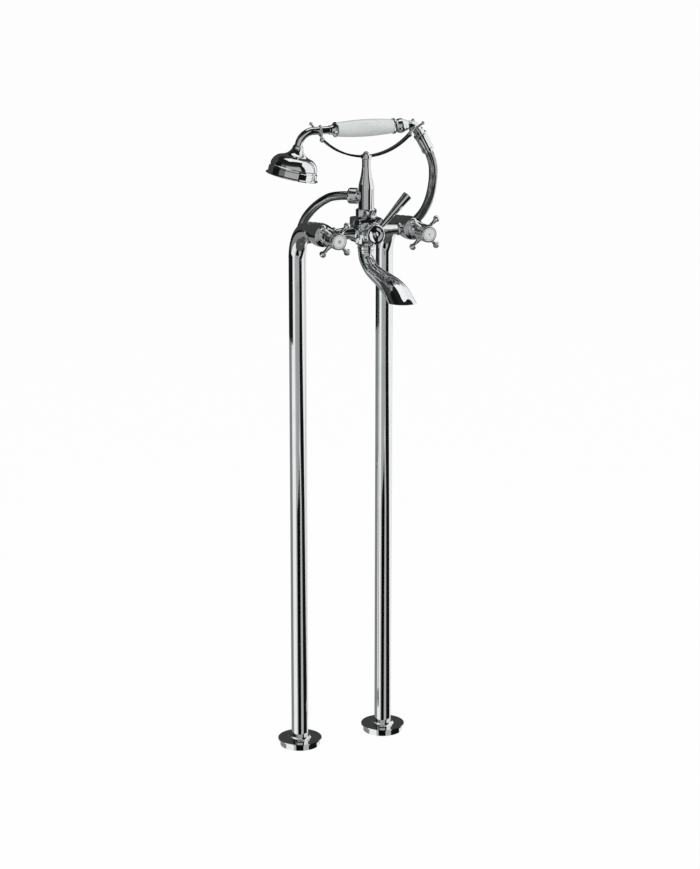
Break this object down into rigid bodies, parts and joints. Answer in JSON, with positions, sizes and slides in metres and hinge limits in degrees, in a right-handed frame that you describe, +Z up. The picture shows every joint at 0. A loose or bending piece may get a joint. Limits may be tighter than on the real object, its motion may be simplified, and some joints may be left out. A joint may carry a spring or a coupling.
{
  "type": "floor standing bath filler",
  "caption": "Freestanding bath filler: standpipes with floor covers, cross-handle valves, lever diverter, swivel spout and a ceramic-grip hand shower resting in a cradle.",
  "frame": {"origin": "on the floor, midway between the two standpipes' axes", "axes": "+Z up along the standpipes; +X from the hot standpipe to the cold one; -Y towards the bath, the way the spout points"},
  "size_m": [0.2916, 0.3776, 1.028],
  "materials": {
    "chrome": "polished",
    "glazed_ceramic": "glazed",
    "brass": "machined",
    "steel": "plain",
    "cartridge_plastic": "matte",
    "outlet_plastic": "matte",
    "rubber": "matte"
  },
  "bodies": {
    "filler": {"left_base_plate": "steel", "right_base_plate": "steel", "left_floor_rose": "chrome", "right_floor_rose": "chrome", "left_standpipe": "chrome", "right_standpipe": "chrome", "left_union_nut": "chrome", "right_union_nut": "chrome", "left_valve_chamber": "chrome", "right_valve_chamber": "chrome", "left_arm": "chrome", "right_arm": "chrome", "left_bonnet": "chrome", "right_bonnet": "chrome", "left_cartridge": "cartridge_plastic", "right_cartridge": "cartridge_plastic", "left_fork": "chrome", "right_fork": "chrome", "rose_seals": "rubber", "union_washers": "rubber", "arm_rings": "chrome", "centre_body": "chrome", "diverter_boss": "chrome", "diverter_cartridge": "cartridge_plastic", "column_nut": "chrome", "column": "chrome", "outlet_nut": "chrome", "cradle_bar": "chrome", "cradle_cap_nut": "chrome", "spout_collar": "chrome", "hose": "chrome", "hose_tie": "rubber"},
    "hot_handle": {"left_spindle": "brass", "left_cross_handle": "chrome", "left_handle_screw": "steel", "left_bezel": "chrome", "left_index_disc": "glazed_ceramic"},
    "cold_handle": {"right_spindle": "brass", "right_cross_handle": "chrome", "right_handle_screw": "steel", "right_bezel": "chrome", "right_index_disc": "glazed_ceramic"},
    "diverter_lever": {"diverter_spindle": "brass", "diverter_hub": "chrome", "diverter_lever": "chrome", "diverter_button": "chrome"},
    "swivel_spout": {"spout": "chrome", "spout_seals": "rubber", "aerator": "outlet_plastic"},
    "handset": {"ceramic_handle": "glazed_ceramic", "handset_core": "brass", "front_ferrule": "chrome", "handset_neck": "chrome", "rose_shell": "chrome", "rose_ring": "chrome", "spray_plate": "chrome", "rear_ferrule": "chrome", "handset_tail": "chrome", "hose_nut": "chrome"}
  },
  "joints": [
    {"name": "hot_handle_turn", "type": "hinge", "parent": "filler", "child": "hot_handle", "pos_m": [-0.075, -0.14, 0.857], "axis": [0, -1, 0], "range_deg": [0, 90]},
    {"name": "cold_handle_turn", "type": "hinge", "parent": "filler", "child": "cold_handle", "pos_m": [0.075, -0.14, 0.857], "axis": [0, 1, 0], "range_deg": [0, 90]},
    {"name": "diverter_turn", "type": "hinge", "parent": "filler", "child": "diverter_lever", "pos_m": [0, -0.12, 0.857], "axis": [0, -1, 0], "range_deg": [0, 90]},
    {"name": "spout_swivel", "type": "hinge", "parent": "filler", "child": "swivel_spout", "pos_m": [0, -0.091, 0.83], "axis": [0, 0, 1], "range_deg": [-60, 60]},
    {"name": "handset_lift", "type": "slide", "parent": "filler", "child": "handset", "axis": [0, 0, 1], "range_m": [0, 0.05], "deforming": ["hose"]}
  ]
}
